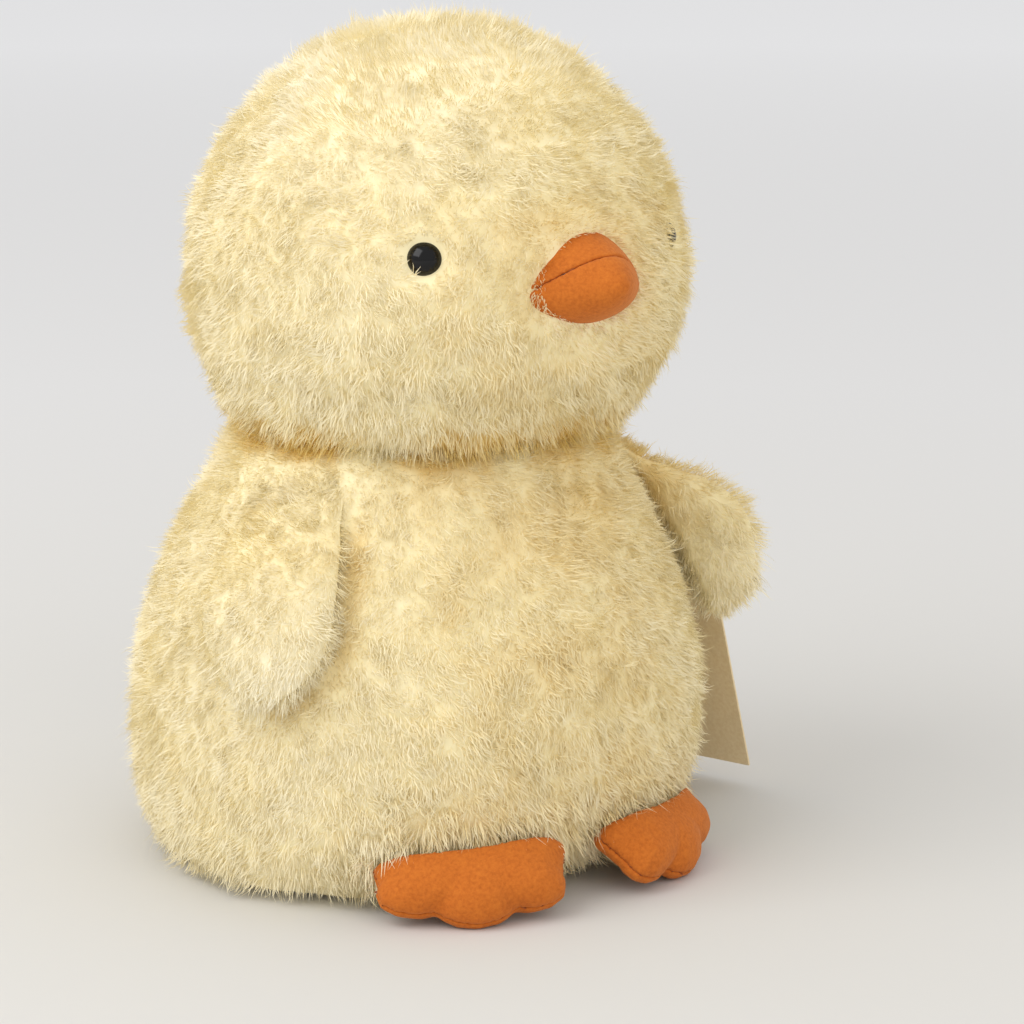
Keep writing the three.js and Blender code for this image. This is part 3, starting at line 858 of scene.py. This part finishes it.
# How strongly the pile swirls off its downward way on each part, and over how many mm
down = np.array([0, 0, -1.0])
swirls = {"head": (1.5, 17), "body": (0.95, 19), "wing": (0.5, 15)}

# Where the pile parts round the eyes and the beak, and stands up at the neck
parting = {
    "pull": 1.1, "eye": 8.5, "eyePull": 0.4, "eyeLength": 9, "beak": 18, "beakPull": 0.6, "beakLength": 0.4,
    "neck": 12, "neckLess": 0.8, "lockStart": 0.72, "lockRamp": 0.15, "lockLength": 0.15,
    "eyeDepth": 4, "beakDepth": 2,
}
eyeOut = head["radius"] - parting["eyeDepth"]
eyeSpots = {side: np.array((head["middle"] + eyeWay(side) * eyeOut) * mm) for side in (-1, 1)}
beakBox = [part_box("beak_upper"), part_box("beak_lower")]
beakHeight = 0.5 * (beakBox[1][0][2] + beakBox[0][1][2])
beakRoot = np.array((0, beakBox[0][1][1] + parting["beakDepth"] * mm, beakHeight))
beakOval = np.array([12.8, 30, 9.8]) * mm
# from the right eye towards its lower left, where a lock falls over it
overlapWay = np.array((-0.5, 0.4, -0.77))


def nearTo(points, spot, size):
    return np.exp(-((np.linalg.norm(points - spot, axis=1) / (size * mm)) ** 4))


def lockOver(away, side):
    # 1 where a lock falls over the right eye, and 0 elsewhere
    return np.clip((unit(away) @ overlapWay - parting["lockStart"]) / parting["lockRamp"], 0, 1) * (side < 0)


def headFlow(points, normals):
    strength, size = swirls["head"]
    flow = unit(down + strength * swirl(points, size, 3)) * parting["pull"]
    for side, spot in eyeSpots.items():
        away = points - spot
        near = nearTo(points, spot, parting["eye"])[:, None]
        over = lockOver(away, side)[:, None]
        flow = unit(flow) * (1 - near) + (unit(away) * parting["eyePull"] * (1 - over) - overlapWay * over) * near
    near = nearTo(points, beakRoot, parting["beak"])[:, None]
    flow = flow * (1 - near) + unit(points - beakRoot) * near * parting["beakPull"]
    low = np.clip(1 - (points[:, 2] - neck) / (parting["neck"] * mm), 0, 1)[:, None]
    return flow * (1 - parting["neckLess"] * low)


def headLength(points):
    length = np.ones(len(points))
    for side, spot in eyeSpots.items():
        grown = overgrown[side]["length"] + parting["lockLength"] * lockOver(points - spot, side)
        length *= 1 + grown * nearTo(points, spot, parting["eyeLength"])
    return length * (1 - parting["beakLength"] * nearTo(points, beakRoot, parting["beak"]))


def headBare(points, normals):
    bare = (points[:, 2] < neck + hem["neckLap"] * mm) & (normals[:, 2] < -0.85)
    for side, spot in eyeSpots.items():
        bare |= np.linalg.norm(points - spot, axis=1) < overgrown[side]["bare"] * mm
    return bare | (np.linalg.norm((points - beakRoot) / beakOval, axis=1) < 1)


# The body's pile: a longer fringe over the feet, shorter under the wings, and upright at the neck
edge = {
    "split": 40, "hem": 12, "hemPull": 0.6, "neck": 10, "neckLess": 0.85, "bareBase": 6, "bareTop": 100,
    "feetReach": 12, "feet": 6, "feetLess": 0.35, "fringe": 0.9, "wingReach": 14, "wing": 7, "short": 0.4,
}


def nearFeet(points):
    near = np.zeros(len(points))
    for tree in footTrees:
        for i in np.nonzero(points[:, 2] < edge["split"] * mm)[0]:
            off = tree.find_nearest(Vector(points[i]), edge["feetReach"] * mm)[3]
            if off is not None:
                near[i] = max(near[i], math.exp(-((off / (edge["feet"] * mm)) ** 2)))
    return near


def bodyFlow(points, normals):
    strength, size = swirls["body"]
    feetNear = nearFeet(points)[:, None]
    flow = down + strength * swirl(points, size, 5) * (1 - feetNear)
    outward = unit(points * np.array([1, 1, 0]))
    low = np.clip(1 - points[:, 2] / (edge["hem"] * mm), 0, 1)[:, None]
    high = np.clip(1 - (neck - points[:, 2]) / (edge["neck"] * mm), 0, 1)[:, None]
    less = 1 - edge["neckLess"] * high - edge["feetLess"] * feetNear
    return unit(flow + outward * low * edge["hemPull"]) * less


def bodyLength(points):
    length = 1 + edge["fringe"] * nearFeet(points)
    for tree in wingTrees:
        for i in np.nonzero(points[:, 2] > edge["split"] * mm)[0]:
            off = tree.find_nearest(Vector(points[i]), edge["wingReach"] * mm)[3]
            if off is not None:
                length[i] *= 1 - edge["short"] * math.exp(-((off / (edge["wing"] * mm)) ** 2))
    return length


def bodyBare(points, normals):
    base = (points[:, 2] < edge["bareBase"] * mm) & (normals[:, 2] < -0.7)
    return base | ((points[:, 2] > edge["bareTop"] * mm) & (normals[:, 2] > 0.85))


# Painted shade: the pile is golder in the crease at the neck, and in a faint band round each wing, where shade falls
# between the wing and the body
crease = {"middle": 0.26, "broad": 0.45, "broadSize": 16, "fine": 0.3, "fineSize": 4.5, "most": 0.6, "height": 5.5}
# painted shade in a faint band round each wing
wingShadeBand = {"tone": 0.2, "top": 99, "fade": 14, "width": 4.5}


def neckShadeTone(points):
    # painted shade in the crease at the neck
    broad = crease["broad"] * patch(points, crease["broadSize"], 21)
    fine = crease["fine"] * patch(points, crease["fineSize"], 22)
    depth = np.clip(crease["middle"] + broad + fine, 0, crease["most"])
    return -depth * np.exp(-(((points[:, 2] - neck) / (crease["height"] * mm)) ** 2))


footTrees = [treeOf(panel) for panel in footPanels]
wingTrees = [treeOf(backs[f"wing_{name}"]["piece"]) for name in ("right", "left")]


def bodyShadeTone(points):
    tone = neckShadeTone(points)
    for i in np.nonzero(points[:, 2] > edge["split"] * mm)[0]:
        # painted shade round each wing, fading out towards the band's top
        strength = wingShadeBand["tone"] * min(1, max(0, (wingShadeBand["top"] * mm - points[i][2]) / (wingShadeBand["fade"] * mm)))
        for tree in wingTrees:
            off = tree.find_nearest(Vector(points[i]), edge["wingReach"] * mm)[3]
            if off is not None:
                share = (off / (wingShadeBand["width"] * mm)) ** 2
                tone[i] -= strength * share * math.exp(1 - share)
    return tone


for seed, (layer, coat) in enumerate(coats.items()):
    grown = growPile(backs["head"]["piece"], coat, 11 + seed, headFlow, headLength, neckShadeTone, headBare)
    keepOutside(grown["line"], backs["body"]["piece"], 0.4)
    for piece in eyeButtons + beakPanels:
        keepOutside(grown["line"], piece, 0.2)
    pilePieces(f"head_{layer}coat", grown, "toy")
    grown = growPile(backs["body"]["piece"], coat, 31 + seed, bodyFlow, bodyLength, bodyShadeTone, bodyBare)
    keepOutside(grown["line"], backs["head"]["piece"], 0.4)
    for panel in footPanels:
        keepOutside(grown["line"], panel, 0.5)
    keepOffCard(grown["line"])
    keepAboveFloor(grown["line"], grown["rng"])
    pilePieces(f"body_{layer}coat", grown, "toy")

# Wing pile: paler towards the tip; "root" makes each wing golder all over, the left wing more, a painted shade on
# the wing turned from the key lamp
wingPile = {"length": 1.1, "tip": 0.45, "tipStart": 0.4, "root": {-1: 0.06, 1: 0.16}}
for side, name in ((-1, "right"), (1, "left")):
    back = backs[f"wing_{name}"]
    hinge, along, reach = back["line"]

    def wingFlow(points, normals):
        strength, size = swirls["wing"]
        return along + strength * swirl(points, size, 7 + side)

    def wingLength(points):
        return np.full(len(points), wingPile["length"])

    def wingTone(points, hinge=hinge, along=along, reach=reach, side=side):
        share = ((points - hinge) @ along) / reach
        # painted shade: the left wing, turned from the key lamp, is golder all over
        return wingPile["tip"] * np.clip(share - wingPile["tipStart"], 0, 1) - wingPile["root"][side]

    back["tone"] = wingTone
    back["blend"] = (tuple(hinge), tuple(hinge + along * (wingHinge["bend"] * mm)))
    for seed, (layer, coat) in enumerate(coats.items()):
        grown = growPile(back["piece"], coat, 51 + seed + 5 * side, wingFlow, wingLength, wingTone)
        for piece in pilePieces(f"wing_{name}_{layer}coat", grown):
            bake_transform(piece)
print("pile grown")

backs["head"]["tone"] = neckShadeTone
backs["body"]["tone"] = bodyShadeTone
for part, back in backs.items():
    points = pointsOf(back["piece"])
    layer = back["piece"].data.attributes.new("tone", "FLOAT", "POINT")
    layer.data.foreach_set("value", (toneAt(points) + back["tone"](points)).clip(0, 1).astype(np.float32))
    ridden = None if "blend" in back else back["body"]
    dress(back["piece"], backing, ridden, [back["node"]])
    if "blend" in back:
        for piece in (back["piece"], back["filling"]):
            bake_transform(piece)

base = feltPanel("base_panel_cloth", "base_panel", 1.2, 2)
layer = base.data.attributes.new("tone", "FLOAT", "POINT")
layer.data.foreach_set("value", toneAt(pointsOf(base)).clip(0, 1).astype(np.float32))
dress(base, backing, "toy", ["base_panel"])

# Card
tag = copyOf("swing_tag_card", "swing_tag")
modifier = tag.modifiers.new("Bevel", "BEVEL")
modifier.width = card["bevel"] * mm
modifier.segments = 2
modifier.limit_method = "ANGLE"
applyModifiers(tag)
dress(tag, kraft, "tag", ["swing_tag"])
print("card made")

# Studio: a wide pale dish, lit softly from the upper left of the camera; the floor's colour lightens with distance,
# a painted light that makes up for the lamps' fall-off so that the far floor reads as a pale wall
studio = {
    "floor": "#D8D6D2", "middle": "#E1E0DF", "paintedFarLight": "#F5F5F6", "radius": 12000, "near": 200, "far": 3000,
    "air": 0.82, "seenAir": 0.76,
}


def floorMaterial():
    material, tree, shader = newMaterial("seamlessPaper")
    place = addNode(tree, "ShaderNodeTexCoord")
    away = addNode(tree, "ShaderNodeVectorMath", {"operation": "LENGTH"}, {"Vector": place.outputs["Object"]})
    share = addNode(
        tree,
        "ShaderNodeMapRange",
        {"From Min": studio["near"] * mm, "From Max": studio["far"] * mm},
        {"Value": away.outputs["Value"]},
    )
    tone = addNode(tree, "ShaderNodeValToRGB", links={"Fac": share.outputs["Result"]})
    # painted light: the floor is lighter with distance, against the lamps' fall-off
    setRamp(tone, [(0, studio["floor"]), (0.17, studio["middle"]), (1, studio["paintedFarLight"])])
    tree.links.new(tone.outputs["Color"], shader.inputs["Base Color"])
    shader.inputs["Roughness"].default_value = 0.9
    shader.inputs["Specular IOR Level"].default_value = 0.1
    return material


bpy.ops.mesh.primitive_circle_add(vertices=96, radius=studio["radius"] * mm, fill_type="NGON")
floor = bpy.context.object
floor.name = "floor"
floor.data.materials.append(floorMaterial())

shot = {"aim": Vector((17.9, -14, 82)), "azimuth": -38, "elevation": 12, "distance": 780, "lens": 112.85}
aim = shot["aim"] * mm


def wayTo(azimuth, elevation):
    a, e = math.radians(azimuth), math.radians(elevation)
    return Vector((math.sin(a) * math.cos(e), -math.cos(a) * math.cos(e), math.sin(e)))


lamps = [
    {"name": "key", "azimuth": -92, "elevation": 42, "distance": 1500, "size": 1100, "power": 10},
    {"name": "fill", "azimuth": -20, "elevation": 30, "distance": 2000, "size": 1800, "power": 7.5},
]
for lamp in lamps:
    data = bpy.data.lights.new(lamp["name"], "AREA")
    data.size = lamp["size"] * mm
    data.energy = lamp["power"]
    light = bpy.data.objects.new(lamp["name"], data)
    bpy.context.scene.collection.objects.link(light)
    way = wayTo(lamp["azimuth"], lamp["elevation"])
    light.location = aim + way * lamp["distance"] * mm
    light.rotation_euler = way.to_track_quat("Z", "Y").to_euler()
    light.visible_glossy = lamp["name"] == "key"

world = bpy.data.worlds.new("studio")
bpy.context.scene.world = world
world.use_nodes = True
air = world.node_tree.nodes["Background"]
path = addNode(world.node_tree, "ShaderNodeLightPath")
seen = addNode(
    world.node_tree,
    "ShaderNodeMath",
    {"operation": "MAXIMUM"},
    {0: path.outputs["Is Camera Ray"], 1: path.outputs["Is Glossy Ray"]},
)
level = addNode(
    world.node_tree,
    "ShaderNodeMapRange",
    {"To Min": studio["air"], "To Max": studio["seenAir"]},
    {"Value": seen.outputs["Value"]},
)
air.inputs["Color"].default_value = (1, 1, 1, 1)
world.node_tree.links.new(level.outputs["Result"], air.inputs["Strength"])

camera = bpy.data.cameras.new("camera")
camera.sensor_width = 36
camera.lens = shot["lens"]
view = bpy.data.objects.new("camera", camera)
bpy.context.scene.collection.objects.link(view)
bpy.context.scene.camera = view
way = wayTo(shot["azimuth"], shot["elevation"])
view.location = aim + way * (shot["distance"] * mm)
view.rotation_euler = way.to_track_quat("Z", "Y").to_euler()
bpy.context.scene.view_settings.view_transform = "Standard"
print("studio set")
